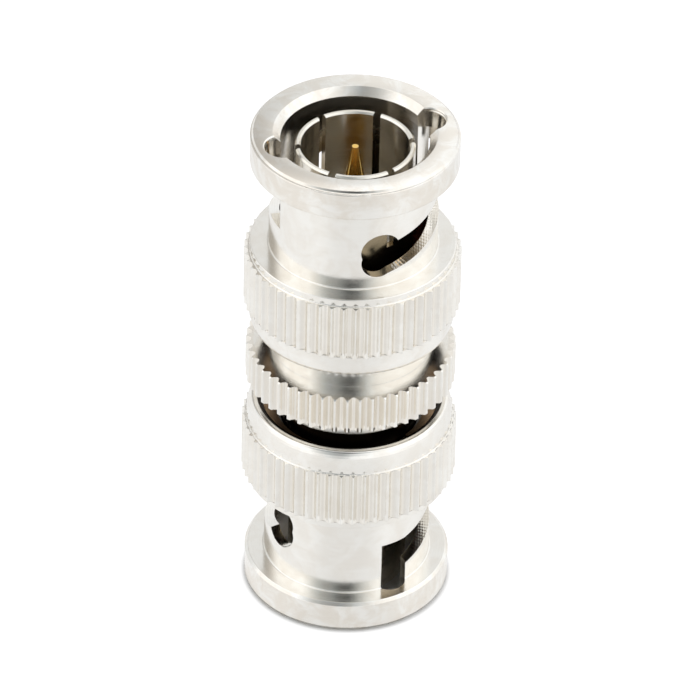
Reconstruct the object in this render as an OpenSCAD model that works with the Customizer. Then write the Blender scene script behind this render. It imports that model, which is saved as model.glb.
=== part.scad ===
// Plug-to-plug BNC adapter: two bayonet coupling nuts that turn on one knurled body, and a centre pin
// right through it. A plug is built with its mouth on z = 0 and its rear above. The lower plug stands like
// that, and the upper one is the same plug turned over, so every depth below is measured from a plug's own
// mouth. All lengths are in millimetres.

/* [Coupling nut] */
// Diameter of the smooth flange round the mouth
flange_d = 13.9; // [13.4:0.1:14.4]
// Width of that flange along the axis
flange_w = 2.3; // [1.8:0.1:2.8]
// Wall of the neck that the bayonet slots are cut in
neck_wall = 0.69; // [0.6:0.01:0.9]
// Length of the neck from the flange to the knurl
neck_w = 6.4; // [6.2:0.1:8]
// Diameter over the crowns of the knurl
knurl_d = 14.5; // [14.2:0.1:15.6]
// Width of the knurl, its smooth shoulder included
knurl_w = 4.6; // [3.6:0.1:6]
// Width of the smooth shoulder in front of the knurl
shoulder_w = 0.58; // [0.3:0.02:1]
// Height of the knurl's crowns over that shoulder
shoulder_step = 0.37; // [0.2:0.01:0.5]
// Wall of the smooth rim behind the knurl, outside the spring chamber
rim_wall = 1.07; // [0.9:0.01:1.2]
// Width of that rim
rim_w = 1.7; // [1.5:0.1:2]
// Radius of the crown that the rim's outside curves in with
rim_crown_r = 2.4; // [2:0.1:3]
// How far that crown has turned inward at the rear, in degrees
rim_crown_turn = 28; // [20:1:32]
// Radius on the rim's rear outer edge
rim_edge_r = 0.2; // [0.1:0.02:0.3]
// Radius on the edge of the rear opening
rear_edge_r = 0.42; // [0.2:0.02:0.46]
// Chamfer on the flange's outer edges
flange_chamfer = 0.2; // [0.05:0.01:0.3]
// Radius left by the turning tool in the corners of the neck
neck_fillet_r = 0.1; // [0.05:0.01:0.2]
// Chamfer on the shoulder's edge
shoulder_chamfer = 0.05; // [0.02:0.01:0.1]
// Radius left by the turning tool at each end of the knurl
knurl_fillet_r = 0.12; // [0.1:0.01:0.14]
// Bore of the mouth, round the mating barrel
mouth_d = 9.9; // [9.8:0.02:10.1]
// Depth of the chamfer inside the mouth
mouth_chamfer = 0.5; // [0.2:0.05:0.8]
// Turn of the lower nut: the azimuth of one of its entry channels, in degrees
lower_nut_turn = -54.5; // [-180:0.5:180]
// The same for the upper nut, seen from its own mouth
upper_nut_turn = -20.5; // [-180:0.5:180]
// Turn from the lower nut's entry channel to a groove of its knurl, in degrees
lower_groove_at = 2.9; // [0:0.1:9]
// The same for the upper nut
upper_groove_at = 2.1; // [0:0.1:9]

/* [Bayonet slots] */
// Number of lugs on the mating jack, each with its own slot
lugs = 2; // [2, 4]
// Diameter of the cutter for the entry channels
channel_d = 2.24; // [2.0:0.02:2.4]
// Distance of a channel's centre line outside the mouth's bore
channel_out = 0.07; // [0:0.01:0.2]
// Depth of the channel's flat end
channel_depth = 5.9; // [5.6:0.1:6.4]
// Diameter of the tapered lead-in where a channel opens on the mouth
channel_lead_d = 2.72; // [2.5:0.02:2.8]
// Depth of that lead-in
channel_lead = 1.4; // [0.8:0.1:2]
// Chamfer on the lead-in's edge
channel_edge = 0.08; // [0.04:0.01:0.12]
// Width of the ramp slot along the axis
slot_w = 2.3; // [2.1:0.05:2.5]
// Depth of the ramp's centre line where it leaves the channel
ramp_start = 4.56; // [4.3:0.02:4.8]
// How much deeper the ramp's centre line is at its end
ramp_rise = 2.1; // [1.8:0.05:2.4]
// Turn from the entry channel to the ramp's end, in degrees
ramp_turn = 92.5; // [85:0.5:100]
// Diameter of the round end of the ramp slot
ramp_end_d = 2.36; // [2.32:0.02:2.5]
// Diameter of the detent hole that holds a locked lug
detent_d = 2.7; // [2.4:0.05:2.8]
// Turn from the entry channel to the detent's centre, in degrees
detent_turn = 91; // [84:0.5:99]
// How far the detent's centre lies toward the mouth from the ramp's end
detent_lift = 0.81; // [0.6:0.01:1]

/* [Knurling] */
// Grooves round each coupling nut
nut_teeth = 56; // [40:4:72]
// Depth of those grooves
nut_groove = 0.29; // [0.1:0.01:0.3]
// Share of each pitch that the groove takes
nut_groove_share = 0.92; // [0.6:0.02:0.96]
// Grooves round the body's ring
ring_teeth = 52; // [40:4:64]
// Depth of those grooves
ring_groove = 0.42; // [0.2:0.02:0.5]
// Share of each pitch that the groove takes
ring_groove_share = 0.86; // [0.6:0.02:0.96]
// Azimuth of a groove's middle on the body's ring, in degrees
ring_groove_at = 2.45; // [0:0.05:9]

/* [Body] */
// Diameter over the crowns of the ring between the nuts
ring_d = 14.12; // [13.6:0.02:15]
// Width of that ring
ring_w = 2.7; // [2.2:0.1:4]
// Chamfer on the ring's outer edges
ring_chamfer = 0.1; // [0.05:0.01:0.3]
// Gap between each nut's rear face and the ring
nut_gap = 1.85; // [1.6:0.05:3]
// Diameter of the boss on each side of the ring
boss_d = 10.9; // [10.4:0.1:11.6]
// Width of each boss
boss_w = 1.25; // [0.6:0.05:1.4]
// Wall of the journal that each nut's washers run on
journal_wall = 0.6; // [0.5:0.02:0.7]

/* [Contacts and insulators] */
// Room for the mating barrel between the slit contact sleeve and the mouth's bore
barrel_room = 0.95; // [0.9:0.01:1]
// Wall of the sleeve
sleeve_wall = 0.4; // [0.3:0.02:0.5]
// Depth of the sleeve's tip
sleeve_inset = 0.88; // [0.5:0.02:1.4]
// Rounding of the sleeve's tip
sleeve_tip_r = 0.12; // [0.05:0.01:0.15]
// Length of the sleeve that is pressed into the body
sleeve_tail = 2.97; // [2:0.01:3.4]
// Saw cuts across the sleeve's tip, two slits from each
saw_cuts = 3; // [2:1:4]
// Width of a saw cut
slit_w = 0.5; // [0.3:0.05:0.7]
// Length of a slit from the sleeve's tip
slit_length = 6; // [4:0.5:8]
// Azimuth of the first saw cut, in degrees
slit_at = -7.5; // [-30:0.5:30]
// Diameter of the centre pin
pin_d = 1.35; // [1.32:0.01:1.37]
// Diameter of the flat on the pin's tip
pin_tip_d = 0.44; // [0.2:0.02:0.6]
// Length of the pin's taper
pin_taper = 2.5; // [1.5:0.1:3.5]
// Depth of the pin's tip
pin_inset = 1.1; // [0.8:0.02:2]
// Diameter of the pin's shank, inside the insulators
shank_d = 1.7; // [1.5:0.05:1.8]
// Diameter of the collar that locks the pin between the insulators
collar_d = 2.4; // [1.8:0.1:3.4]
// Width of that collar
collar_w = 1.6; // [1:0.1:3]
// Depth of the insulator's face
insulator_inset = 10.2; // [8:0.1:11]
// Width of the gasket that the mating barrel presses on
gasket_w = 0.73; // [0.5:0.01:1]
// Height of the gasket between the sleeve's root and the mouth's bore
gasket_h = 0.65; // [0.5:0.01:0.7]
// Bevel on the gasket's front edges
gasket_bevel = 0.12; // [0.05:0.01:0.2]

/* [Nut retention] */
// Width of the sleeve's flange, which carries the nut
seat_w = 0.6; // [0.4:0.05:0.8]
// Thickness of the flat washers and of the wave washer's strip
washer_t = 0.2; // [0.15:0.01:0.25]
// Width of the washers from hole to edge
washer_w = 1.03; // [0.9:0.01:1.1]
// Free height of the wave washer
wave_h = 1.1; // [1:0.02:1.3]
// Waves round the wave washer
waves = 3; // [3:1:5]
// Thickness of the retaining ring
ring_t = 0.5; // [0.4:0.02:0.6]
// Depth of the groove that the retaining ring springs into
ring_seat = 0.42; // [0.3:0.02:0.5]
// Width of the lip behind that groove
lip_w = 0.92; // [0.7:0.02:1.1]
// Gap between the retaining ring's ends
ring_split = 2.4; // [1:0.2:5]

/* [Fits] */
// Clearance between pieces that are pressed or clamped together
press_fit = 0.02; // [0.01:0.01:0.04]
// Clearance round pieces that turn or slide
running_fit = 0.1; // [0.06:0.01:0.12]
// End play of the washers and the retaining ring
end_play = 0.025; // [0.02:0.005:0.04]

/* [Hidden] */
$fn = 96;
over = 1; // how far a cutter passes through the surface that it opens
core_inset = 0.05; // how far a knurl's core stays below its grooves

nickel = "#dedad2";
gold = "#c9952c";
bronze = "#b9854a";
spring_steel = "#a9abad";
ptfe = "#f2f0ea";
silicone = "#8c2f26";

nut_length = flange_w + neck_w + knurl_w + rim_w;
overall_length = 2 * (nut_length + nut_gap) + ring_w;
middle = overall_length / 2;

// The nut's retention, stacked forward from the lip at the nut's rear
groove_end = nut_length - lip_w;
groove_start = groove_end - ring_t - 2 * end_play;
ring_z = groove_start + end_play;
rear_washer_z = groove_start - washer_t;
wave_z = rear_washer_z - wave_h;
front_washer_z = wave_z - washer_t;
seat_z = front_washer_z - seat_w;
chamber_z = seat_z - end_play;
gasket_z = seat_z - gasket_w;

// From the mouth's bore inward to the sleeve, then outward through journal and washers to the rim
neck_d = mouth_d + 2 * neck_wall;
channel_r = mouth_d / 2 + channel_out;
sleeve_d = mouth_d - 2 * barrel_room;
root_d = mouth_d - 2 * (running_fit + gasket_h + press_fit);
journal_d = sleeve_d + 2 * journal_wall;
washer_in_d = journal_d + 2 * running_fit;
washer_out_d = washer_in_d + 2 * washer_w;
chamber_d = washer_out_d + 3 * running_fit;
groove_d = chamber_d + 2 * ring_seat;
rim_d = chamber_d + 2 * rim_wall;
shoulder_d = knurl_d - 2 * shoulder_step;

// The body between its two end faces, and what it holds
body_z = seat_z + seat_w;
boss_z = nut_length + nut_gap - boss_w;
tail_z = body_z + sleeve_tail;
sleeve_bore = sleeve_d - 2 * sleeve_wall;

// The upper plug is the lower one turned over about the x axis
module turned_over() {
    translate([0, 0, overall_length])
        rotate([180, 0, 0])
            children();
}

// A flat washer or a plain tube
module tube(outer_d, inner_d, height) {
    difference() {
        cylinder(h = height, d = outer_d);
        translate([0, 0, -over])
            cylinder(h = height + 2 * over, d = inner_d);
    }
}

// A point at a radius and an azimuth
function polar(r, angle) = [r * cos(angle), r * sin(angle)];

// Outline of a knurl: hollow grooves with narrow crowns between them, the first groove on azimuth 0
function knurl_outline(d, teeth, depth, groove_share, steps = 6) = [
    for (tooth = [0 : teeth - 1], step = [0 : steps])
        let (across = 2 * step / steps - 1)
        polar(d / 2 - depth * (1 - across * across), 360 / teeth * (tooth + across * groove_share / 2))
];

// Points of an arc in the profile of a turned piece, round a centre at r and z
function arc(r, z, radius, from, to, steps = 4) = [
    for (step = [0 : steps])
        let (angle = from + (to - from) * step / steps)
        [r + radius * cos(angle), z + radius * sin(angle)]
];

// The knurl of a nut, behind its smooth shoulder
module nut_knurl() {
    translate([0, 0, flange_w + neck_w + shoulder_w])
        linear_extrude(height = knurl_w - shoulder_w)
            polygon(knurl_outline(knurl_d, nut_teeth, nut_groove, nut_groove_share));
}

// The nut's turned outside without its knurl
module nut_blank() {
    flange_r = flange_d / 2;
    neck_r = neck_d / 2;
    shoulder_r = shoulder_d / 2;
    shoulder_z = flange_w + neck_w;
    knurl_z = shoulder_z + shoulder_w;
    core_r = min(rim_d / 2, knurl_d / 2 - nut_groove) - core_inset;
    rim_r = rim_d / 2;
    rim_z = nut_length - rim_w;
    edge_z = nut_length - rim_edge_r;
    crown_z = edge_z - (rim_crown_r - rim_edge_r) * sin(rim_crown_turn);
    edge_r = rim_r - rim_crown_r + (rim_crown_r - rim_edge_r) * cos(rim_crown_turn);
    rotate_extrude()
        polygon(concat(
            [
                [0, 0],
                [flange_r - flange_chamfer, 0],
                [flange_r, flange_chamfer],
                [flange_r, flange_w - flange_chamfer],
                [flange_r - flange_chamfer, flange_w]
            ],
            arc(neck_r + neck_fillet_r, flange_w + neck_fillet_r, neck_fillet_r, 270, 180),
            arc(neck_r + neck_fillet_r, shoulder_z - neck_fillet_r, neck_fillet_r, 180, 90),
            [
                [shoulder_r - shoulder_chamfer, shoulder_z],
                [shoulder_r, shoulder_z + shoulder_chamfer]
            ],
            arc(shoulder_r + knurl_fillet_r, knurl_z - knurl_fillet_r, knurl_fillet_r, 180, 90),
            [
                [core_r, knurl_z],
                [core_r, rim_z]
            ],
            arc(rim_r + knurl_fillet_r, rim_z + knurl_fillet_r, knurl_fillet_r, 270, 180),
            arc(rim_r - rim_crown_r, crown_z, rim_crown_r, 0, rim_crown_turn, steps = 6),
            arc(edge_r, edge_z, rim_edge_r, rim_crown_turn, 90),
            [[0, nut_length]]
        ));
}

// Everything bored out of the nut: mouth, spring chamber, groove of the retaining ring and rear opening
module nut_bore() {
    mouth_r = mouth_d / 2;
    chamber_r = chamber_d / 2;
    rotate_extrude()
        polygon(concat(
            [
                [0, -over],
                [mouth_r + mouth_chamfer, -over],
                [mouth_r + mouth_chamfer, 0],
                [mouth_r, mouth_chamfer],
                [mouth_r, chamber_z],
                [chamber_r, chamber_z],
                [chamber_r, groove_start],
                [groove_d / 2, groove_start],
                [groove_d / 2, groove_end],
                [chamber_r, groove_end]
            ],
            arc(chamber_r + rear_edge_r, nut_length - rear_edge_r, rear_edge_r, 180, 90),
            [
                [chamber_r + rear_edge_r, nut_length + over],
                [0, nut_length + over]
            ]
        ));
}

// Depth of the ramp's centre line at a turn from the entry channel
function ramp_depth(turn) = ramp_start + ramp_rise * turn / ramp_turn;

// Corners of the ramp cutter at one turn, from inside the bore to outside the neck
function ramp_corners(turn) =
    let (
        near = polar(mouth_d / 2 - over, turn),
        far = polar(neck_d / 2 + over, turn),
        front = ramp_depth(turn) - slot_w / 2,
        rear = ramp_depth(turn) + slot_w / 2
    )
    [[near.x, near.y, front], [far.x, far.y, front], [far.x, far.y, rear], [near.x, near.y, rear]];

// The helical slot between an entry channel and its detent
module ramp_cutter(steps = 36) {
    polyhedron(
        points = [
            for (step = [0 : steps])
                each ramp_corners(ramp_turn * step / steps)
        ],
        faces = concat(
            [[3, 2, 1, 0]],
            [
                for (step = [0 : steps - 1], side = [0 : 3])
                    let (
                        a = 4 * step + side,
                        b = 4 * step + (side + 1) % 4
                    )
                    each [[a, b, a + 4], [b, b + 4, a + 4]]
            ],
            [[for (side = [0 : 3]) 4 * steps + side]]
        )
    );
}

// A round hole through the neck's wall, at a turn and a depth
module neck_hole(d, turn, depth) {
    rotate([0, 0, turn])
        translate([mouth_d / 2 - over, 0, depth])
            rotate([0, 90, 0])
                cylinder(h = (neck_d - mouth_d) / 2 + 2 * over, d = d);
}

// Path of one lug: entry channel, ramp and detent
module bayonet_slot() {
    lead_r = channel_lead_d / 2;
    translate([channel_r, 0, -over])
        cylinder(h = channel_depth + over, d = channel_d);
    translate([channel_r, 0, 0])
        rotate_extrude()
            polygon([
                [0, -over],
                [lead_r, -over],
                [lead_r, 0],
                [lead_r - channel_edge, channel_edge],
                [channel_d / 2, channel_lead],
                [0, channel_lead]
            ]);
    ramp_cutter();
    neck_hole(ramp_end_d, ramp_turn, ramp_depth(ramp_turn));
    neck_hole(detent_d, detent_turn, ramp_depth(ramp_turn) - detent_lift);
}

module coupling_nut(groove_at) {
    difference() {
        union() {
            nut_blank();
            rotate([0, 0, groove_at])
                nut_knurl();
        }
        nut_bore();
        for (lug = [0 : lugs - 1])
            rotate([0, 0, 360 * lug / lugs])
                bayonet_slot();
    }
}

// The slit outer contact, with the flange that the nut turns on and the tail that is pressed into the body
module contact_sleeve() {
    outer_r = sleeve_d / 2;
    inner_r = sleeve_bore / 2;
    root_r = root_d / 2;
    root_z = gasket_z - end_play;
    seat_r = chamber_d / 2 - running_fit;
    difference() {
        rotate_extrude()
            polygon([
                [inner_r + sleeve_tip_r, sleeve_inset],
                [outer_r - sleeve_tip_r, sleeve_inset],
                [outer_r, sleeve_inset + sleeve_tip_r],
                [outer_r, root_z - (root_r - outer_r)],
                [root_r, root_z],
                [root_r, seat_z],
                [seat_r, seat_z],
                [seat_r, body_z],
                [outer_r, body_z],
                [outer_r, tail_z],
                [inner_r, tail_z],
                [inner_r, sleeve_inset + sleeve_tip_r]
            ]);
        for (cut = [0 : saw_cuts - 1])
            rotate([0, 0, slit_at + 180 * cut / saw_cuts])
                translate([-sleeve_d, -slit_w / 2, sleeve_inset - over])
                    cube([2 * sleeve_d, slit_w, slit_length + over]);
    }
}

// Half of the dielectric: its nose is in the sleeve, and its head is trapped between the two sleeves' tails
module insulator() {
    nose_r = sleeve_bore / 2 - press_fit;
    head_r = sleeve_d / 2;
    hole_r = shank_d / 2 + press_fit;
    pocket_r = collar_d / 2 + press_fit;
    pocket_z = middle - collar_w / 2 - press_fit;
    rotate_extrude()
        polygon([
            [hole_r, insulator_inset],
            [nose_r, insulator_inset],
            [nose_r, tail_z + press_fit],
            [head_r, tail_z + press_fit],
            [head_r, middle],
            [pocket_r, middle],
            [pocket_r, pocket_z],
            [hole_r, pocket_z]
        ]);
}

// Soft ring on the sleeve's flange, with a bevelled front
module gasket() {
    inner_r = root_d / 2 + press_fit;
    outer_r = mouth_d / 2 - running_fit;
    rotate_extrude()
        polygon([
            [inner_r + gasket_bevel, gasket_z],
            [outer_r - gasket_bevel, gasket_z],
            [outer_r, gasket_z + gasket_bevel],
            [outer_r, seat_z],
            [inner_r, seat_z],
            [inner_r, gasket_z + gasket_bevel]
        ]);
}

module front_washer() {
    translate([0, 0, front_washer_z])
        tube(washer_out_d, washer_in_d, washer_t);
}

module rear_washer() {
    translate([0, 0, rear_washer_z])
        tube(washer_out_d, washer_in_d, washer_t);
}

// Corners of the wave washer's strip at an azimuth
function wave_corners(angle) =
    let (
        near = polar(washer_in_d / 2, angle),
        far = polar(washer_out_d / 2, angle),
        front = wave_z + (wave_h - washer_t) * (1 + cos(waves * angle)) / 2,
        rear = front + washer_t
    )
    [[near.x, near.y, front], [far.x, far.y, front], [far.x, far.y, rear], [near.x, near.y, rear]];

// The spring: a flat strip bent into waves that touch both flat washers
module wave_washer(steps = 72) {
    polyhedron(
        points = [
            for (step = [0 : steps - 1])
                each wave_corners(360 * step / steps)
        ],
        faces = [
            for (step = [0 : steps - 1], side = [0 : 3])
                let (
                    here = 4 * step,
                    there = 4 * ((step + 1) % steps),
                    next = (side + 1) % 4
                )
                each [[here + side, here + next, there + side], [here + next, there + next, there + side]]
        ]
    );
}

// Split ring that springs into the nut's groove and takes the spring's push
module retaining_ring() {
    outer_d = groove_d - 2 * running_fit;
    inner_d = washer_in_d + 2 * washer_t + 2 * running_fit;
    translate([0, 0, ring_z])
        difference() {
            tube(outer_d, inner_d, ring_t);
            translate([0, -ring_split / 2, -over])
                cube([outer_d, ring_split, ring_t + 2 * over]);
        }
}

module adapter_body() {
    journal_r = journal_d / 2;
    boss_r = boss_d / 2;
    ring_r = ring_d / 2;
    color(nickel)
        difference() {
            union() {
                rotate_extrude()
                    polygon([
                        [0, body_z],
                        [journal_r, body_z],
                        [journal_r, boss_z],
                        [boss_r, boss_z],
                        [boss_r, overall_length - boss_z],
                        [journal_r, overall_length - boss_z],
                        [journal_r, overall_length - body_z],
                        [0, overall_length - body_z]
                    ]);
                intersection() {
                    rotate([0, 0, ring_groove_at])
                        translate([0, 0, middle - ring_w / 2])
                            linear_extrude(height = ring_w)
                                polygon(knurl_outline(ring_d, ring_teeth, ring_groove, ring_groove_share));
                    rotate_extrude()
                        polygon([
                            [0, middle - ring_w / 2],
                            [ring_r - ring_chamfer, middle - ring_w / 2],
                            [ring_r, middle - ring_w / 2 + ring_chamfer],
                            [ring_r, middle + ring_w / 2 - ring_chamfer],
                            [ring_r - ring_chamfer, middle + ring_w / 2],
                            [0, middle + ring_w / 2]
                        ]);
                }
            }
            translate([0, 0, body_z - over])
                cylinder(h = overall_length - 2 * body_z + 2 * over, d = sleeve_d + 2 * press_fit);
        }
}

// One pin with a tapered tip in each plug and a collar in the middle
module center_pin() {
    pin_r = pin_d / 2;
    tip_r = pin_tip_d / 2;
    shank_r = shank_d / 2;
    collar_r = collar_d / 2;
    color(gold)
        rotate_extrude()
            polygon([
                [0, pin_inset],
                [tip_r, pin_inset],
                [pin_r, pin_inset + pin_taper],
                [pin_r, insulator_inset],
                [shank_r, insulator_inset],
                [shank_r, middle - collar_w / 2],
                [collar_r, middle - collar_w / 2],
                [collar_r, middle + collar_w / 2],
                [shank_r, middle + collar_w / 2],
                [shank_r, overall_length - insulator_inset],
                [pin_r, overall_length - insulator_inset],
                [pin_r, overall_length - pin_inset - pin_taper],
                [tip_r, overall_length - pin_inset],
                [0, overall_length - pin_inset]
            ]);
}

module upper_coupling_nut() {
    color(nickel) turned_over() rotate([0, 0, upper_nut_turn]) coupling_nut(upper_groove_at);
}

module lower_coupling_nut() {
    color(nickel) rotate([0, 0, lower_nut_turn]) coupling_nut(lower_groove_at);
}

module upper_contact_sleeve() {
    color(nickel) turned_over() contact_sleeve();
}

module lower_contact_sleeve() {
    color(nickel) contact_sleeve();
}

module upper_insulator() {
    color(ptfe) turned_over() insulator();
}

module lower_insulator() {
    color(ptfe) insulator();
}

module upper_gasket() {
    color(silicone) turned_over() gasket();
}

module lower_gasket() {
    color(silicone) gasket();
}

module upper_front_washer() {
    color(spring_steel) turned_over() front_washer();
}

module lower_front_washer() {
    color(spring_steel) front_washer();
}

module upper_wave_washer() {
    color(bronze) turned_over() wave_washer();
}

module lower_wave_washer() {
    color(bronze) wave_washer();
}

module upper_rear_washer() {
    color(spring_steel) turned_over() rear_washer();
}

module lower_rear_washer() {
    color(spring_steel) rear_washer();
}

module upper_retaining_ring() {
    color(bronze) turned_over() rotate([0, 0, upper_nut_turn]) retaining_ring();
}

module lower_retaining_ring() {
    color(bronze) rotate([0, 0, lower_nut_turn]) retaining_ring();
}

adapter_body();
center_pin();
upper_coupling_nut();
lower_coupling_nut();
upper_contact_sleeve();
lower_contact_sleeve();
upper_insulator();
lower_insulator();
upper_gasket();
lower_gasket();
upper_front_washer();
lower_front_washer();
upper_wave_washer();
lower_wave_washer();
upper_rear_washer();
lower_rear_washer();
upper_retaining_ring();
lower_retaining_ring();
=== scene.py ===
# %% [markdown]
# # A plug-to-plug bayonet adapter
# The real object is a small turned part, 36 mm tall: two coupling nuts that turn on one knurled body, with
# a gold pin in each mouth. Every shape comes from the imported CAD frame, so this lesson is about what a
# maker adds after turning: the plating, the fine marks of the lathe, and a plain white studio to see them
# in.

# %% Open the frame
import math

import bmesh
import bpy
from mathutils import Matrix, Vector


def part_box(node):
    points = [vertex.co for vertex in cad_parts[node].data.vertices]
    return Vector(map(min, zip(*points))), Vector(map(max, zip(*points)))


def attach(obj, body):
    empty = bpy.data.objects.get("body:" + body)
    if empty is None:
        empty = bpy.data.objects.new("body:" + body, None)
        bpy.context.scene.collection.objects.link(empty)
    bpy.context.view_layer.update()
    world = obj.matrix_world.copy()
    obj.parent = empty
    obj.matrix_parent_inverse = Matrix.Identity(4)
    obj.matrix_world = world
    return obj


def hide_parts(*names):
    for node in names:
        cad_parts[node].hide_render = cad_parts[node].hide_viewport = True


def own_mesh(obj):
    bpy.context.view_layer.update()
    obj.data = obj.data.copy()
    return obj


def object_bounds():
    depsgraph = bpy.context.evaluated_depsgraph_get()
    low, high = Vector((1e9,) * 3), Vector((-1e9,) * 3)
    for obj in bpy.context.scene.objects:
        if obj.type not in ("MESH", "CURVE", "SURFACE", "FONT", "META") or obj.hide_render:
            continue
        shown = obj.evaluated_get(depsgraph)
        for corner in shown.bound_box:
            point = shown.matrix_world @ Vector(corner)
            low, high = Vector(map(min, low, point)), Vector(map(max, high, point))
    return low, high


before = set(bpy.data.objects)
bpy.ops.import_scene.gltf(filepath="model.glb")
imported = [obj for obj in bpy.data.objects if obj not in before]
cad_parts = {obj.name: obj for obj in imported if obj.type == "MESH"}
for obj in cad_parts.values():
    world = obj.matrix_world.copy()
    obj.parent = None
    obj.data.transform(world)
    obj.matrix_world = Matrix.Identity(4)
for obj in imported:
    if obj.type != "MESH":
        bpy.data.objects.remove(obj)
cad_low, cad_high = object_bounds()
scene = bpy.context.scene
scene.view_settings.view_transform = "Standard"
print("pieces:", len(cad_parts))

# %% [markdown]
# ## Measures
# A material that knows where it is can change along a piece: a lathe leaves other marks on a flat face than
# on a neck. The heights are read from the pieces' boxes, not typed in, so the marks stay in place if the
# part is made again. The two plugs mirror each other about the middle, so one depth, measured from the
# nearer mouth, serves both.

# %% Measure the pieces
MM = 0.001
nut_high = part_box("lower_coupling_nut")[1]
half_length = cad_high.z / 2 / MM
nut_length = nut_high.z / MM
knurl_radius = nut_high.x / MM
groove_depth, knurl_width, rim_width, sleeve_flange = 0.29, 4.02, 1.7, 0.65
groove_radius = knurl_radius - groove_depth
knurl_rear = nut_length - rim_width
knurl_front = knurl_rear - knurl_width
chamber_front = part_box("lower_front_washer")[0].z / MM - sleeve_flange
print(f"half length {half_length:.2f} mm, nut {nut_length:.2f} mm long, knurl radius {knurl_radius:.2f} mm")
print(f"knurl from {knurl_front:.2f} to {knurl_rear:.2f} mm deep, spring chamber from {chamber_front:.2f} mm")

# %% [markdown]
# ## Short ways to write a node tree
# A node tree in code is a list of nodes and links. These helpers add one node, fill its inputs with a
# number or a link, and hand back what it puts out, so that the finishes below read like sums.


# %% Node helpers
def add(tree, kind, inputs=(), **settings):
    """One new node: settings are its options, and inputs its sockets by name or number."""
    made = tree.nodes.new(kind)
    for name, value in settings.items():
        setattr(made, name, value)
    for key, value in dict(inputs).items():
        if isinstance(value, bpy.types.NodeSocket):
            tree.links.new(value, made.inputs[key])
        else:
            made.inputs[key].default_value = value
    return made


def sums(tree, operation, *values):
    """A Math node's result."""
    return add(tree, "ShaderNodeMath", enumerate(values), operation=operation).outputs[0]


def vectors(tree, operation, *values):
    """A Vector Math node's result: a number for the length and the dot product, and a vector otherwise."""
    made = add(tree, "ShaderNodeVectorMath", enumerate(values), operation=operation)
    return made.outputs["Value" if operation in ("LENGTH", "DOT_PRODUCT") else "Vector"]


def ramp(tree, value, low, high, out_low=0.0, out_high=1.0):
    """Eases a value from low..high to out_low..out_high, and holds it beyond."""
    spread = {0: value, 1: low, 2: high, 3: out_low, 4: out_high}
    return add(tree, "ShaderNodeMapRange", spread, interpolation_type="SMOOTHSTEP").outputs[0]


def profile(tree, value, stops):
    """A grey curve through stops of position and level, each from 0 to 1."""
    made = add(tree, "ShaderNodeValToRGB", {0: value})
    points = made.color_ramp.elements
    for position, level in stops[1:-1]:
        points.new(position)
    for point, (position, level) in zip(points, stops):
        point.position = position
        point.color = (level, level, level, 1.0)
    return made.outputs[0]


def blend_colour(tree, mask, first, second):
    """Mixes two colours by a mask."""
    made = add(tree, "ShaderNodeMix", {"Factor": mask}, data_type="RGBA")
    for socket, value in zip((made.inputs[6], made.inputs[7]), (first, second)):
        if isinstance(value, bpy.types.NodeSocket):
            tree.links.new(value, socket)
        else:
            socket.default_value = (*value, 1.0)
    return made.outputs[2]


def new_material(name):
    """A material with an empty node tree, and that tree."""
    material = bpy.data.materials.new(name)
    material.use_nodes = True
    material.node_tree.nodes.clear()
    return material, material.node_tree


def start_group(name, inputs, outputs):
    """A new node group with named sockets: its tree, its entry node and its exit node."""
    tree = bpy.data.node_groups.new(name, "ShaderNodeTree")
    for title, value in inputs.items():
        kind = "NodeSocketVector" if isinstance(value, tuple) else "NodeSocketFloat"
        tree.interface.new_socket(title, in_out="INPUT", socket_type=kind).default_value = value
    for title, kind in outputs.items():
        tree.interface.new_socket(title, in_out="OUTPUT", socket_type="NodeSocket" + kind)
    print(f"{name} takes {', '.join(inputs)} and gives {', '.join(outputs)}")
    return tree, tree.nodes.new("NodeGroupInput"), tree.nodes.new("NodeGroupOutput")


def use_group(tree, name, **inputs):
    """Places a shared group in a tree. An underscore in an input's name stands for a space."""
    made = add(tree, "ShaderNodeGroup", node_tree=bpy.data.node_groups[name])
    for key, value in inputs.items():
        socket = made.inputs[key.replace("_", " ")]
        if isinstance(value, bpy.types.NodeSocket):
            tree.links.new(value, socket)
        else:
            socket.default_value = value
    return made.outputs


def send(tree, exit_node, **values):
    """Links values to a group's named outputs."""
    for key, value in values.items():
        tree.links.new(value, exit_node.inputs[key.replace("_", " ")])


print("helpers ready")

# %% [markdown]
# ## The studio
# Bright metal has almost no colour of its own: it shows the room. The room here is a white tent, so the
# plating looks nearly white, and the dark thing in it is its opening. The opening shows in the hollows that
# face it, and without it the metal would look like plaster. It is black in the middle and grey round it,
# wider on the left, where the tent is folded back, and the far left corner of the tent is a little dim and
# warm. All of it is fixed in the room, so it stays put when the camera walks round.

# %% The direction of the camera
view_height = math.radians(36.383)
view_roll = math.radians(1.309)
view_distance = 0.52963
toward_camera = Vector((0, -math.cos(view_height), math.sin(view_height)))
print("toward the camera:", [round(v, 3) for v in toward_camera])

# %% World
tent_level = 1.25
world = bpy.data.worlds.new("Studio")
world.use_nodes = True
scene.world = world
tree = world.node_tree
tree.nodes.clear()
direction = add(tree, "ShaderNodeTexCoord").outputs["Generated"]
sideways = add(tree, "ShaderNodeSeparateXYZ", {0: direction}).outputs["X"]
print("room:", world.name)

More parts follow.
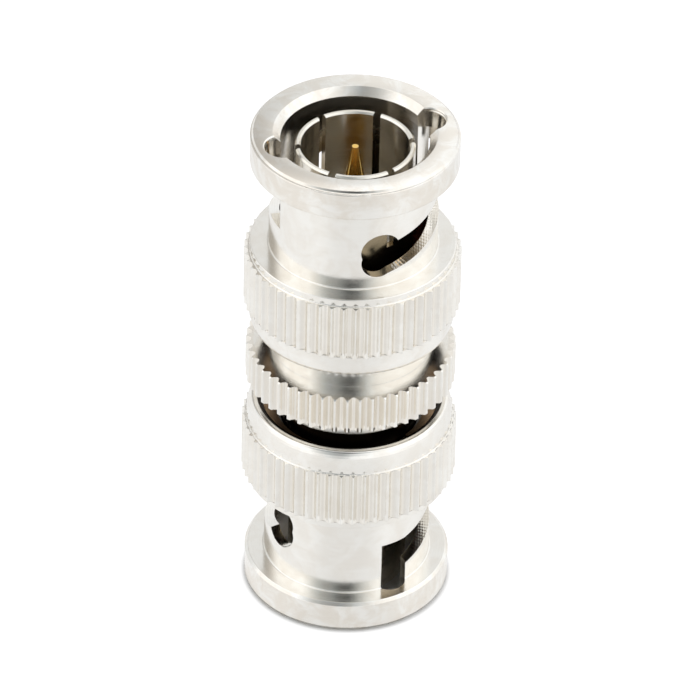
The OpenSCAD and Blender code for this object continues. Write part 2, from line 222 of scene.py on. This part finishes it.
# %% The tent's opening
# Each stop is an angle from the opening's middle, as a share of half a turn, and the level there.
facing = vectors(tree, "DOT_PRODUCT", direction, tuple(toward_camera))
aside = sums(tree, "DIVIDE", sums(tree, "ARCCOSINE", facing), math.pi)
left_stops = (
    (0.0, 0.03), (0.03, 0.05), (0.045, 0.11), (0.089, 0.27), (0.134, 0.33), (0.178, 0.48),
    (0.22, 0.75), (0.265, 1.0), (0.49, 1.0), (0.55, 0.72), (1.0, 0.72),
)
right_stops = (
    (0.0, 0.03), (0.03, 0.05), (0.05, 0.12), (0.089, 0.43), (0.134, 0.69), (0.178, 0.9),
    (0.25, 0.97), (0.35, 1.0), (0.49, 1.0), (0.55, 0.86), (1.0, 0.86),
)
left_level, right_level = profile(tree, aside, left_stops), profile(tree, aside, right_stops)
side_blend = 0.12
to_right = ramp(tree, sideways, -side_blend, side_blend)
level = add(tree, "ShaderNodeMix", {0: to_right, 2: left_level, 3: right_level}).outputs[0]
white, opening_tint = (1.0, 1.0, 1.0), (0.9, 0.97, 1.0)
cool = blend_colour(tree, level, opening_tint, white)
print("opening stops:", len(left_stops), "to the left and", len(right_stops), "to the right")

# %% The dim corner
corner_turn = math.radians(147)
corner_middle, corner_reach, corner_tint = 0.1, 0.65, (0.52, 0.485, 0.45)
corner_flat = math.cos(view_height)
corner_x, corner_y = -math.sin(corner_turn) * corner_flat, -math.cos(corner_turn) * corner_flat
toward_corner = (corner_x, corner_y, math.sin(view_height))
from_corner = sums(tree, "ARCCOSINE", vectors(tree, "DOT_PRODUCT", direction, toward_corner))
clear = ramp(tree, from_corner, corner_middle, corner_reach)
warm = blend_colour(tree, clear, corner_tint, white)
print("toward the corner:", [round(v, 3) for v in toward_corner])

# %% The tent's light
tints = {"Factor": 1.0, 6: warm, 7: cool}
light = add(tree, "ShaderNodeMix", tints, data_type="RGBA", blend_type="MULTIPLY").outputs[2]
level = sums(tree, "MULTIPLY", level, tent_level)
light = add(tree, "ShaderNodeVectorMath", {0: light, "Scale": level}, operation="SCALE").outputs[0]
rays = add(tree, "ShaderNodeLightPath").outputs
seen = blend_colour(tree, rays["Is Camera Ray"], light, white)
sky = add(tree, "ShaderNodeBackground", {"Color": seen, "Strength": 1.0})
add(tree, "ShaderNodeOutputWorld", {"Surface": sky.outputs[0]})
print("tent level", tent_level)

# %% [markdown]
# ## Floor
# The camera itself sees plain white behind everything: a Light Path node tells its rays from those that
# light the metal. The floor is a pale sheet. Most of what the camera sees of it shines by itself, which
# makes it white, and the rest is lit, which keeps a soft shadow round the foot. Inside the lower mouth
# nothing shines, since no light falls in. In the metal, the floor's glow is painted lower toward the
# camera and behind than at the sides, as painted shade.

# %% Floor
sheet_size, sheet_gap = 4.0, 0.01 * MM
floor_mesh = bpy.data.meshes.new("Floor")
corners = [(x * sheet_size / 2, y * sheet_size / 2, 0) for x, y in ((-1, -1), (1, -1), (1, 1), (-1, 1))]
floor_mesh.from_pydata(corners, [], [(0, 1, 2, 3)])
floor = bpy.data.objects.new("Floor", floor_mesh)
floor.location.z = cad_low.z - sheet_gap
scene.collection.objects.link(floor)
print("floor at", round(floor.location.z / MM, 3), "mm")

# %% Pale paper
foot_shadow, foot_clear = 6.85 * MM, 7.3 * MM
paper_grey, shine_share, seen_level = 0.8, 0.78, 1.2
level_near, level_far, front_painted_shade = 1.05, 0.96, -0.16
paper, tree = new_material("Pale Paper")
own = add(tree, "ShaderNodeTexCoord").outputs["Object"]
from_axis = vectors(tree, "LENGTH", own)
forward = add(tree, "ShaderNodeSeparateXYZ", {0: vectors(tree, "NORMALIZE", own)}).outputs["Y"]
rays = add(tree, "ShaderNodeLightPath").outputs
# painted shade on the floor as the metal sees it: its glow is lower toward the camera and behind than at the
# sides
in_front = ramp(tree, forward, -0.7, -1.0, 0.0, front_painted_shade)
behind = ramp(tree, forward, -0.2, 0.8, level_near, level_far)
seen_strength = sums(tree, "MULTIPLY", rays["Is Camera Ray"], seen_level)
strength = sums(tree, "MAXIMUM", sums(tree, "ADD", behind, in_front), seen_strength)
shows = sums(tree, "MAXIMUM", rays["Is Camera Ray"], rays["Is Glossy Ray"])
shows = sums(tree, "MAXIMUM", shows, rays["Is Transmission Ray"])
outside = ramp(tree, from_axis, foot_shadow, foot_clear)
share = sums(tree, "MULTIPLY", sums(tree, "MULTIPLY", shows, outside), shine_share)
lit = add(tree, "ShaderNodeBsdfDiffuse", {"Color": (paper_grey, paper_grey, paper_grey, 1)})
shine = add(tree, "ShaderNodeEmission", {"Color": (1, 1, 1, 1), "Strength": strength})
both = add(tree, "ShaderNodeMixShader", {0: share, 1: lit.outputs[0], 2: shine.outputs[0]})
add(tree, "ShaderNodeOutputMaterial", {"Surface": both.outputs[0]})
floor_mesh.materials.append(paper)
print(f"paper shines from {foot_clear / MM:.2f} mm outward, share {shine_share}")

# %% [markdown]
# ## Camera
# The lens is long and far away, so the adapter's sides look nearly parallel, as a maker holds it up to look.
# The camera leans by about one degree, and it and its target are moved together a little, which frames the
# part without a shift.

# %% Camera
camera_data = bpy.data.cameras.new("Camera")
camera_data.sensor_width, camera_data.lens = 36.0, 405.2
camera = bpy.data.objects.new("Camera", camera_data)
scene.collection.objects.link(camera)
scene.camera = camera
right, up = Vector((1, 0, 0)), Vector((0, math.sin(view_height), math.cos(view_height)))
leaning_right = right * math.cos(view_roll) + up * math.sin(view_roll)
leaning_up = up * math.cos(view_roll) - right * math.sin(view_roll)
aim_up, aim_left = 0.308 * MM, 0.033 * MM
aim = Vector((0, 0, cad_high.z / 2)) + leaning_up * aim_up - leaning_right * aim_left
place = aim + toward_camera * view_distance
turn = Matrix((leaning_right, leaning_up, toward_camera)).transposed()
camera.matrix_world = Matrix.Translation(place) @ turn.to_4x4()
camera_data.clip_start, camera_data.clip_end = 0.01, 20.0
print("camera at", [round(v, 4) for v in place])

# %% [markdown]
# ## Where on the lathe
# A turned part is round, so its marks are easiest to draw in a lathe's own terms: how far from the axis,
# how deep from the mouth, and which way round. The path is one number that grows along walls and faces
# alike, so lines drawn across it run round the part everywhere. Inward is 1 on the wall of a bore, whose
# normal points at the axis. It is read from the piece's own normal, so that it stays when a nut turns.

# %% Lathe coordinates
path_per_depth = 1.37
tree, entry, leave = start_group(
    "Lathe Coordinates",
    {"Half Length": half_length},
    {
        "Radius": "Float", "Depth": "Float", "Path": "Float",
        "Inward": "Float", "Around": "Vector", "Spot": "Vector",
    },
)
own = add(tree, "ShaderNodeTexCoord").outputs
spot = add(tree, "ShaderNodeVectorMath", {0: own["Object"], "Scale": 1 / MM}, operation="SCALE").outputs[0]
axes = add(tree, "ShaderNodeSeparateXYZ", {0: spot}).outputs
flat = add(tree, "ShaderNodeCombineXYZ", {0: axes["X"], 1: axes["Y"]}).outputs[0]
radius = vectors(tree, "LENGTH", flat)
around = vectors(tree, "NORMALIZE", flat)
from_middle = sums(tree, "ABSOLUTE", sums(tree, "SUBTRACT", axes["Z"], entry.outputs["Half Length"]))
depth = sums(tree, "SUBTRACT", entry.outputs["Half Length"], from_middle)
path = sums(tree, "ADD", radius, sums(tree, "MULTIPLY", depth, path_per_depth))
inward = ramp(tree, vectors(tree, "DOT_PRODUCT", own["Normal"], around), -0.3, -0.7)
send(tree, leave, Radius=radius, Depth=depth, Path=path, Inward=inward, Around=around, Spot=spot)

# %% [markdown]
# ## Turning lines
# A cutting tool leaves fine grooves that run round the work. They are too fine to model, so they are drawn
# as noise that changes fast along the path and slowly round the part. A bump turns the noise into tilted
# light.

# %% Turning lines
tree, entry, leave = start_group(
    "Turning Lines",
    {"Path": 0.0, "Around": (0.0, 0.0, 0.0), "Lines per mm": 9.0, "Wander": 0.8, "Band Scale": 0.23},
    {"Height": "Float", "Tone": "Float"},
)
across = sums(tree, "MULTIPLY", entry.outputs["Path"], entry.outputs["Lines per mm"])
slow = {0: entry.outputs["Around"], "Scale": entry.outputs["Wander"]}
slow = add(tree, "ShaderNodeVectorMath", slow, operation="SCALE").outputs[0]
slow = add(tree, "ShaderNodeSeparateXYZ", {0: slow}).outputs
where = add(tree, "ShaderNodeCombineXYZ", {0: across, 1: slow["X"], 2: slow["Y"]}).outputs[0]
fine = {"Vector": where, "Scale": 1.0, "Detail": 2.0, "Roughness": 0.6}
fine = add(tree, "ShaderNodeTexNoise", fine).outputs["Fac"]
wide = {"Vector": where, "Scale": entry.outputs["Band Scale"], "Detail": 1.0}
wide = add(tree, "ShaderNodeTexNoise", wide).outputs["Fac"]
send(tree, leave, Height=fine, Tone=ramp(tree, wide, 0.35, 0.65))

# %% [markdown]
# ## Plating mottle
# Nickel goes on in a bath and is never quite even: soft clouds a millimetre or two wide are a little warmer
# or greyer. Two sizes of noise give the clouds and the small change inside them.

# %% Plating mottle
tree, entry, leave = start_group(
    "Plating Mottle",
    {"Spot": (0.0, 0.0, 0.0), "Cloud Size": 1.6, "Grain Size": 0.09},
    {"Clouds": "Float", "Grain": "Float"},
)
inputs = entry.outputs
per_cloud = sums(tree, "DIVIDE", 1.0, inputs["Cloud Size"])
per_grain = sums(tree, "DIVIDE", 1.0, inputs["Grain Size"])
cloud = {"Vector": inputs["Spot"], "Scale": per_cloud, "Detail": 4.0, "Roughness": 0.6, "Distortion": 0.6}
cloud = add(tree, "ShaderNodeTexNoise", cloud).outputs["Fac"]
grain = {"Vector": inputs["Spot"], "Scale": per_grain, "Detail": 1.0}
grain = add(tree, "ShaderNodeTexNoise", grain).outputs["Fac"]
send(tree, leave, Clouds=ramp(tree, cloud, 0.34, 0.66), Grain=ramp(tree, grain, 0.3, 0.7))

# %% [markdown]
# ## Painted edge highlight
# Tumbling and handling round each sharp edge by a few hundredths of a millimetre. A Bevel node tells what
# the normal would be on a rounded edge. Where it leaves the true normal, there is an edge, and there the
# plating's colour is painted paler, as a painted highlight.

# %% Painted edge highlight
tree, entry, leave = start_group("Painted Edge Highlight", {"Width": 0.05 * MM}, {"Edge": "Float"})
rounded = add(tree, "ShaderNodeBevel", {"Radius": entry.outputs["Width"]}, samples=4).outputs[0]
true = add(tree, "ShaderNodeNewGeometry").outputs["True Normal"]
likeness = vectors(tree, "DOT_PRODUCT", rounded, true)
send(tree, leave, Edge=ramp(tree, likeness, 0.995, 0.8))

# %% [markdown]
# ## Specks
# A clean part still carries a few specks of dust and pits in the plating. Cells of a Voronoi pattern give
# the places, each cell's own random colour picks the few that show, and the distance from the cell's middle
# gives the dot.

# %% Specks
tree, entry, leave = start_group(
    "Specks", {"Spot": (0.0, 0.0, 0.0), "Spacing": 1.3, "Dot Size": 0.05, "Share": 0.14}, {"Dots": "Float"}
)
inputs = entry.outputs
per_cell = sums(tree, "DIVIDE", 1.0, inputs["Spacing"])
cells = add(tree, "ShaderNodeTexVoronoi", {"Vector": inputs["Spot"], "Scale": per_cell})
across = sums(tree, "MULTIPLY", cells.outputs["Distance"], inputs["Spacing"])
luck = add(tree, "ShaderNodeSeparateXYZ", {0: cells.outputs["Color"]}).outputs["X"]
size = sums(tree, "MULTIPLY", inputs["Dot Size"], sums(tree, "ADD", luck, 0.5))
dot = ramp(tree, across, size, sums(tree, "MULTIPLY", size, 0.5))
send(tree, leave, Dots=sums(tree, "MULTIPLY", dot, sums(tree, "LESS_THAN", luck, inputs["Share"])))

# %% [markdown]
# ## Painted deep shade
# Little light reaches a deep, narrow bore, so its wall is painted darker and browner as painted shade, the
# more the deeper it lies. Where pieces run on each other deep inside, the colour is painted near black, as
# painted shade too. This group mixes the two into a colour by how deep a bore's wall lies and by a mask.

# %% Painted deep shade
bore_shade_colour, deep_shade_colour = (0.29, 0.235, 0.155), (0.035, 0.027, 0.018)
tree, entry, leave = start_group(
    "Painted Deep Shade",
    {
        "Colour": (0.9, 0.9, 0.9), "Depth": 0.0, "Inward": 0.0,
        "Greased": 0.0, "Thin From": 0.8, "Shade To": 5.0,
    },
    {"Colour": "Color", "Dark": "Float"},
)
inputs = entry.outputs
deep = ramp(tree, inputs["Depth"], inputs["Thin From"], inputs["Shade To"])
# painted shade: bore walls turn darker and browner with depth, and masked places go near black
shade_share = sums(tree, "MULTIPLY", deep, inputs["Inward"])
shade = blend_colour(tree, shade_share, inputs["Colour"], bore_shade_colour)
shade = blend_colour(tree, inputs["Greased"], shade, deep_shade_colour)
send(tree, leave, Colour=shade, Dark=sums(tree, "MAXIMUM", shade_share, inputs["Greased"]))

# %% [markdown]
# ## Plated metal
# Nut, body and sleeve are brass with bright nickel over it, and they differ only in how they were cut. So
# one function lays the shared groups in a material: clouds in the colour, lines and grain in roughness and
# bump, and a painted highlight along the edges. Each piece then adds what is its own.


# %% A plated finish
edge_highlight, speck, groove_shade = (0.99, 0.97, 0.93), (0.3, 0.2, 0.12), (0.84, 0.8, 0.73)
edge_highlight_share, cloud_dullness, line_dullness, grain_height = 0.6, 0.06, 0.05, 0.0006


def plated(name, colour, cloudy, roughness, lines_per_mm, line_depth, edge_width=0.05, extra=None):
    """A metal material. extra(tree, lathe, mottle, shade, rough, height) may change the last three."""
    material, tree = new_material(name)
    lathe = use_group(tree, "Lathe Coordinates")
    lines = {"Path": lathe["Path"], "Around": lathe["Around"], "Lines_per_mm": lines_per_mm}
    lines = use_group(tree, "Turning Lines", **lines)
    mottle = use_group(tree, "Plating Mottle", Spot=lathe["Spot"])
    edge = use_group(tree, "Painted Edge Highlight", Width=edge_width * MM)["Edge"]
    dots = use_group(tree, "Specks", Spot=lathe["Spot"])["Dots"]
    shade = blend_colour(tree, mottle["Clouds"], colour, cloudy)
    # painted highlight: the colour is made paler along every edge
    shade = blend_colour(tree, sums(tree, "MULTIPLY", edge, edge_highlight_share), shade, edge_highlight)
    shade = blend_colour(tree, dots, shade, speck)
    rough = sums(tree, "ADD", roughness, sums(tree, "MULTIPLY", mottle["Clouds"], cloud_dullness))
    rough = sums(tree, "ADD", rough, sums(tree, "MULTIPLY", lines["Tone"], line_dullness))
    height = sums(tree, "MULTIPLY", lines["Height"], line_depth)
    height = sums(tree, "ADD", height, sums(tree, "MULTIPLY", mottle["Grain"], grain_height))
    if extra:
        shade, rough, height = extra(tree, lathe, mottle, shade, rough, height)
    soft_edge = add(tree, "ShaderNodeBevel", {"Radius": edge_width * MM}, samples=4).outputs[0]
    bump = {"Strength": 1.0, "Distance": MM, "Height": height, "Normal": soft_edge}
    bump = add(tree, "ShaderNodeBump", bump).outputs[0]
    metal = add(tree, "ShaderNodeBsdfPrincipled", {"Base Color": shade, "Roughness": rough, "Normal": bump})
    metal.inputs["Metallic"].default_value = 1.0
    add(tree, "ShaderNodeOutputMaterial", {"Surface": metal.outputs[0]})
    return material


# %% Dress the pieces
def wear(material, *nodes):
    """Puts a material in every slot of the named CAD pieces."""
    for name in nodes:
        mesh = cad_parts[name].data
        if not mesh.materials:
            mesh.materials.append(material)
        for number in range(len(mesh.materials)):
            mesh.materials[number] = material
    print(f"{material.name}: {', '.join(nodes)}")


# %% [markdown]
# ## Coupling nuts
# The nut is gripped, so its flange is the most handled and the most mottled place, while the neck behind it
# stays clean. Its mouth face was lapped by hand and is very slightly crowned, which makes its light change
# from side to side. The knurl's grooves are painted darker and browner than its crowns, and its bore and
# spring chamber darker inward, as painted shade. All of these follow depth and radius.

# %% Nuts
nickel = (0.92, 0.905, 0.865)
nickel_cloud = (0.88, 0.85, 0.795)
flange_cloud = (0.84, 0.795, 0.725)
flange_rear = 2.3
crown_height, face_radius = 0.075, 5.3
chamber_wall, slot_wall, slot_reach = (6.25, 6.32), (4.97, 5.6), (3.0, 8.2)
mill_mark = 0.002
groove_shade_share, dark_dullness = 0.7, 0.14


def between(tree, value, low, high, ease=0.05):
    """A mask that is 1 from low to high."""
    rises, falls = ramp(tree, value, low - ease, low), ramp(tree, value, high, high + ease)
    return sums(tree, "SUBTRACT", rises, falls)


def nut_details(tree, lathe, mottle, shade, rough, height):
    """Mottled flange, lapped face, grooves and a bore painted darker as painted shade, and milled slots."""
    on_flange = ramp(tree, lathe["Depth"], flange_rear, flange_rear - 0.1)
    on_flange = sums(tree, "MULTIPLY", on_flange, mottle["Clouds"])
    shade = blend_colour(tree, on_flange, shade, flange_cloud)
    in_knurl = between(tree, lathe["Depth"], knurl_front, knurl_rear)
    in_groove = ramp(tree, lathe["Radius"], knurl_radius - 0.06, groove_radius)
    in_groove = sums(tree, "MULTIPLY", in_groove, in_knurl)
    # painted shade: the knurl's grooves are coloured darker and browner than its crowns
    shade = blend_colour(tree, sums(tree, "MULTIPLY", in_groove, groove_shade_share), shade, groove_shade)
    # painted shade: the spring chamber's wall is coloured near black
    deep_shade_mask = ramp(tree, lathe["Depth"], chamber_front - 0.3, chamber_front + 0.2)
    inside = ramp(tree, lathe["Radius"], chamber_wall[1], chamber_wall[0])
    deep_shade_mask = sums(tree, "MULTIPLY", deep_shade_mask, inside)
    bore = {"Colour": shade, "Depth": lathe["Depth"], "Inward": lathe["Inward"], "Greased": deep_shade_mask}
    bore = use_group(tree, "Painted Deep Shade", **bore)
    rough = sums(tree, "ADD", rough, sums(tree, "MULTIPLY", bore["Dark"], dark_dullness))
    on_face = ramp(tree, lathe["Depth"], 0.3, 0.1)
    from_ring = sums(tree, "SUBTRACT", lathe["Radius"], face_radius)
    crown = sums(tree, "MULTIPLY", sums(tree, "MULTIPLY", from_ring, from_ring), -crown_height)
    height = sums(tree, "ADD", height, sums(tree, "MULTIPLY", crown, on_face))
    in_wall = between(tree, lathe["Radius"], *slot_wall)
    in_slot = sums(tree, "MULTIPLY", in_wall, between(tree, lathe["Depth"], *slot_reach))
    milled = {"Vector": lathe["Spot"], "Scale": 1.9, "Distortion": 1.5}
    milled = add(tree, "ShaderNodeTexWave", milled).outputs["Fac"]
    milled = sums(tree, "MULTIPLY", sums(tree, "MULTIPLY", milled, in_slot), mill_mark)
    height = sums(tree, "ADD", height, milled)
    return bore["Colour"], rough, height


cut = {"roughness": 0.13, "lines_per_mm": 9.0, "line_depth": 0.0014}
nut_finish = plated("Nickel Nut", nickel, nickel_cloud, **cut, extra=nut_details)
wear(nut_finish, "upper_coupling_nut", "lower_coupling_nut")

# %% [markdown]
# ## Body, sleeves and pin
# The body's journal runs in the washers, and its colour is painted near black there as painted shade. The
# sleeve is plain outside and painted dark far down inside, as painted shade, where a white insulator
# closes it off. The pin is gold, which doesn't tarnish, so that the contact stays good.

# %% Body
washer_width = 1.0
journal_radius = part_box("lower_rear_washer")[1].x / MM - washer_width
ring_groove, ring_groove_shade = (6.6, 6.9), (0.84, 0.79, 0.71)
ring_shade_share, shade_dullness = 0.6, 0.15
print(f"journal radius {journal_radius:.2f} mm")


def body_details(tree, lathe, mottle, shade, rough, height):
    """Painted shade: a darker colour in the ring's grooves, and near black on the journal."""
    in_groove = between(tree, lathe["Radius"], *ring_groove, 0.12)
    # painted shade: the ring's grooves are coloured darker and browner
    shade = blend_colour(tree, sums(tree, "MULTIPLY", in_groove, ring_shade_share), shade, ring_groove_shade)
    # painted shade: the journal is coloured near black
    deep_shade_mask = ramp(tree, lathe["Radius"], journal_radius + 0.1, journal_radius)
    shade = use_group(tree, "Painted Deep Shade", Colour=shade, Greased=deep_shade_mask)["Colour"]
    return shade, sums(tree, "ADD", rough, sums(tree, "MULTIPLY", deep_shade_mask, shade_dullness)), height


cut = {"roughness": 0.12, "lines_per_mm": 7.0, "line_depth": 0.0016}
body_finish = plated("Nickel Body", nickel, nickel_cloud, **cut, extra=body_details)
wear(body_finish, "adapter_body")


# %% Sleeves
outside_share, inside_share = 1.0, 0.45


def sleeve_details(tree, lathe, mottle, shade, rough, height):
    """Walls painted darker with depth as painted shade, the outer one more than the bore, and near black
    behind the flange.
    """
    # painted shade: the sleeve is coloured near black behind its flange and darker with depth
    deep_shade_mask = ramp(tree, lathe["Depth"], chamber_front - 0.4, chamber_front)
    shade_share = ramp(tree, lathe["Inward"], 0.0, 1.0, outside_share, inside_share)
    bore = {"Colour": shade, "Depth": lathe["Depth"], "Inward": shade_share, "Greased": deep_shade_mask, "Thin_From": 1.2}
    return use_group(tree, "Painted Deep Shade", **bore)["Colour"], rough, height


sleeve_nickel, sleeve_cloud = (0.9, 0.87, 0.8), (0.85, 0.81, 0.73)
cut = {"roughness": 0.15, "lines_per_mm": 11.0, "line_depth": 0.001, "edge_width": 0.03}
sleeve_finish = plated("Nickel Sleeve", sleeve_nickel, sleeve_cloud, **cut, extra=sleeve_details)
wear(sleeve_finish, "upper_contact_sleeve", "lower_contact_sleeve")

# %% Pin
gold, gold_cloud = (1.0, 0.68, 0.22), (0.96, 0.61, 0.17)
cut = {"roughness": 0.16, "lines_per_mm": 12.0, "line_depth": 0.001, "edge_width": 0.03}
pin_finish = plated("Gold Pin", gold, gold_cloud, **cut)
wear(pin_finish, "center_pin")

# %% [markdown]
# ## Springs and washers
# The flat washers are tempered steel, and the retaining rings are phosphor bronze, which springs well and
# slides on steel. They sit deep in the nuts, so they take the same function with colours painted far darker
# than bare metal, as painted shade.

# %% Washers and rings
# painted shade: these colours are far darker than bare steel and bronze
steel_in_shade, steel_in_shade_cloud = (0.3, 0.29, 0.27), (0.22, 0.205, 0.19)
bronze_in_shade, bronze_in_shade_cloud = (0.36, 0.25, 0.15), (0.26, 0.175, 0.105)
cut = {"roughness": 0.3, "lines_per_mm": 8.0, "line_depth": 0.0015, "edge_width": 0.03}
steel_finish = plated("Spring Steel In Shade", steel_in_shade, steel_in_shade_cloud, **cut)
wear(steel_finish, "upper_front_washer", "lower_front_washer", "upper_rear_washer", "lower_rear_washer")
bronze_finish = plated("Bronze Spring In Shade", bronze_in_shade, bronze_in_shade_cloud, **cut)
wear(bronze_finish, "upper_retaining_ring", "lower_retaining_ring")

# %% [markdown]
# ## Wave springs
# A wave washer is a flat ring of bronze strip, bent into waves. When a nut is pulled forward, the washer is
# pressed nearly flat between two plain ones. The frame's own solid is stiff, so each spring is made again
# here, from the same box, as a strip with eased edges that waves between the box's ends.

# %% The strip's section
strip, strip_width, strip_edge = 0.2 * MM, 1.03 * MM, 0.03 * MM


def strip_section(outer):
    """Corners of the strip's section, as radius and height, with each corner cut a little."""
    inner = outer - strip_width
    return (
        (inner + strip_edge, 0.0), (outer - strip_edge, 0.0),
        (outer, strip_edge), (outer, strip - strip_edge),
        (outer - strip_edge, strip), (inner + strip_edge, strip),
        (inner, strip - strip_edge), (inner, strip_edge),
    )


print(f"strip {strip_width / MM:.2f} mm wide and {strip / MM:.2f} mm thick")

# %% The waves
spring_waves, spring_steps = 3, 144


def wave_mesh(name, low, high, fixed_end_up):
    """A closed ring of strip that waves between the box's ends and starts at the end that moves."""
    section = strip_section(high.x)
    shape = bmesh.new()
    rings = []
    for step in range(spring_steps):
        angle = 2 * math.pi * step / spring_steps
        lift = (high.z - low.z - strip) * (1 + math.cos(spring_waves * angle)) / 2
        heights = [high.z - lift - h if fixed_end_up else low.z + lift + h for _, h in section]
        points = [(r * math.cos(angle), r * math.sin(angle), z) for (r, _), z in zip(section, heights)]
        rings.append([shape.verts.new(point) for point in points])
    for ring, following in zip(rings, rings[1:] + rings[:1]):
        for side in range(len(section)):
            near = (side + 1) % len(section)
            shape.faces.new((ring[side], ring[near], following[near], following[side]))
    bmesh.ops.recalc_face_normals(shape, faces=shape.faces)
    mesh = bpy.data.meshes.new(name)
    shape.to_mesh(mesh)
    shape.free()
    return mesh


# %% Wave washers
def wave_spring(plug, fixed_end_up):
    """A wave washer that replaces the plug's solid one."""
    node, name = f"{plug}_wave_washer", f"{plug}_wave_spring"
    low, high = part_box(node)
    mesh = wave_mesh(name, low, high, fixed_end_up)
    # the wave spring takes the bronze darkened as painted shade
    mesh.materials.append(bronze_finish)
    spring = bpy.data.objects.new(name, mesh)
    scene.collection.objects.link(spring)
    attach(spring, "adapter")
    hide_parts(node)
    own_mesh(spring)


wave_spring("upper", True)
wave_spring("lower", False)


# %% [markdown]
# ## Insulators and gaskets
# The insulators are white fluoroplastic, and the gaskets red silicone rubber. Neither is plated, so they have
# no lathe lines: soft clouds, a fine grain, and for the rubber a little sheen are enough.


# %% Moulded pieces
soft_cloud, grain_dullness = 0.9, 0.12


def moulded(name, colour, shade, roughness, grain_size, grain_depth, sheen):
    """A dull material for pieces that aren't metal."""
    material, tree = new_material(name)
    lathe = use_group(tree, "Lathe Coordinates")
    spots = {"Spot": lathe["Spot"], "Cloud_Size": soft_cloud, "Grain_Size": grain_size}
    mottle = use_group(tree, "Plating Mottle", **spots)
    tone = blend_colour(tree, mottle["Clouds"], colour, shade)
    rough = sums(tree, "ADD", roughness, sums(tree, "MULTIPLY", mottle["Grain"], grain_dullness))
    height = sums(tree, "MULTIPLY", mottle["Grain"], grain_depth)
    bump = add(tree, "ShaderNodeBump", {"Strength": 1.0, "Distance": MM, "Height": height})
    dull = {"Base Color": tone, "Roughness": rough, "Normal": bump.outputs[0]}
    dull = add(tree, "ShaderNodeBsdfPrincipled", dull)
    dull.inputs["Sheen Weight"].default_value = sheen
    add(tree, "ShaderNodeOutputMaterial", {"Surface": dull.outputs[0]})
    return material


fluoroplastic, fluoroplastic_cloud = (0.86, 0.85, 0.81), (0.8, 0.79, 0.75)
surface = {"roughness": 0.42, "grain_size": 0.06, "grain_depth": 0.002, "sheen": 0.0}
insulator_finish = moulded("White Insulator", fluoroplastic, fluoroplastic_cloud, **surface)
wear(insulator_finish, "upper_insulator", "lower_insulator")
rubber, rubber_cloud = (0.36, 0.045, 0.03), (0.26, 0.03, 0.022)
surface = {"roughness": 0.5, "grain_size": 0.05, "grain_depth": 0.003, "sheen": 0.1}
gasket_finish = moulded("Red Gasket", rubber, rubber_cloud, **surface)
wear(gasket_finish, "upper_gasket", "lower_gasket")
